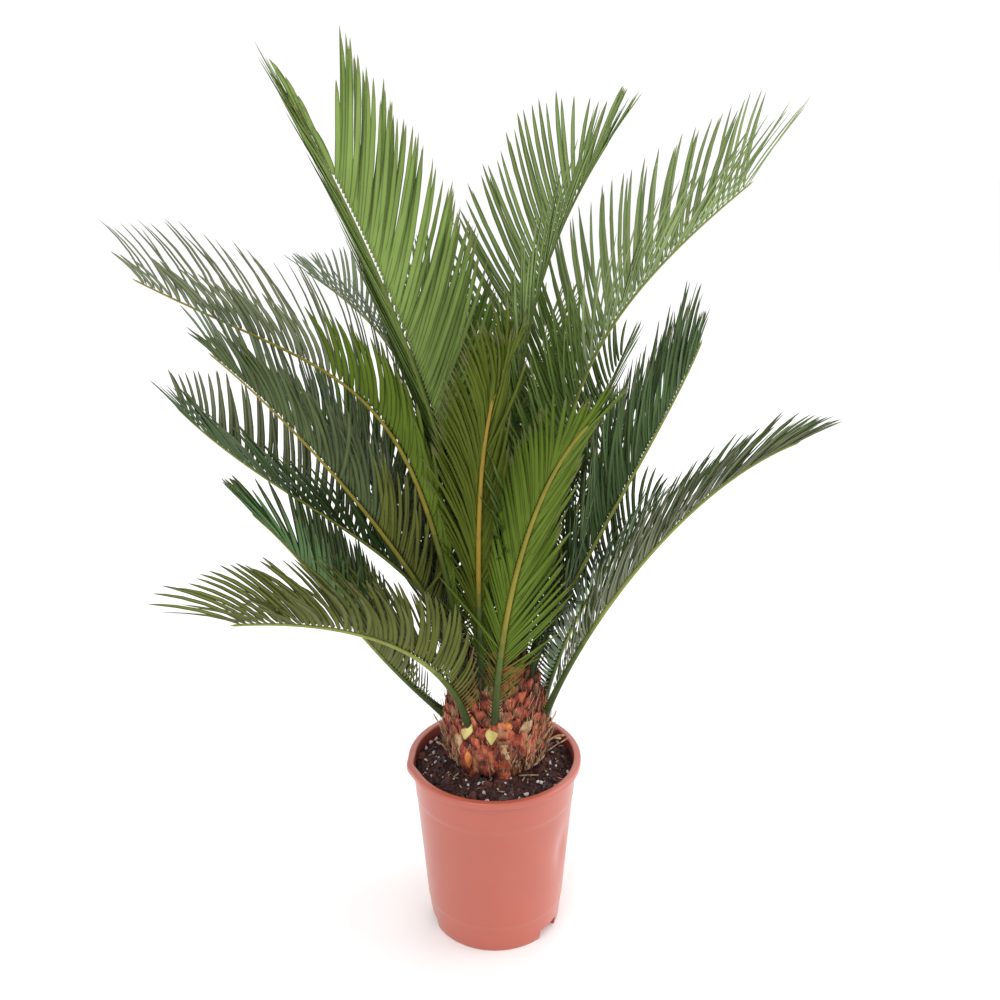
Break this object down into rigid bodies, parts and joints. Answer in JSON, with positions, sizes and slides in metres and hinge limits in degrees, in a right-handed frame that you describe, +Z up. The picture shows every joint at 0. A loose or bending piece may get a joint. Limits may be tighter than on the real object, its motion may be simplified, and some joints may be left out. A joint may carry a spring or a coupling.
{
  "type": "potted sago palm",
  "caption": "Sago palm with a short scaly trunk and a crown of stiff feather-shaped fronds, standing in a round tapered terracotta-coloured plastic nursery pot with soil.",
  "frame": {"origin": "centre of the pot's flat underside", "axes": "+Z up the plant, +X to the right of its chosen front, +Y to its back"},
  "size_m": [0.6593, 0.5006, 0.9555],
  "materials": {
    "pot": "satin terracotta-coloured plastic",
    "soil": "dark crumbly potting soil",
    "caudex": "red-brown leaf-base scales",
    "frond": "stiff glossy green leaflets"
  },
  "bodies": {
    "root": {"pot": "pot", "soil": "soil", "caudex": "caudex", "frond_front_centre": "frond", "frond_front_right": "frond", "frond_top_left": "frond", "frond_top_centre": "frond", "frond_top_right": "frond", "frond_arching_left": "frond", "frond_right_dark": "frond", "frond_right_low": "frond", "frond_left_upper": "frond", "frond_left_middle": "frond", "frond_left_lowest": "frond", "frond_left_lower": "frond", "frond_back_left_high": "frond", "frond_back_right": "frond", "frond_back_high_right": "frond", "frond_back_high": "frond", "frond_back_left": "frond", "frond_back_low_right": "frond", "frond_back_low": "frond", "frond_back_low_left": "frond", "frond_right_inner": "frond"}
  },
  "joints": []
}
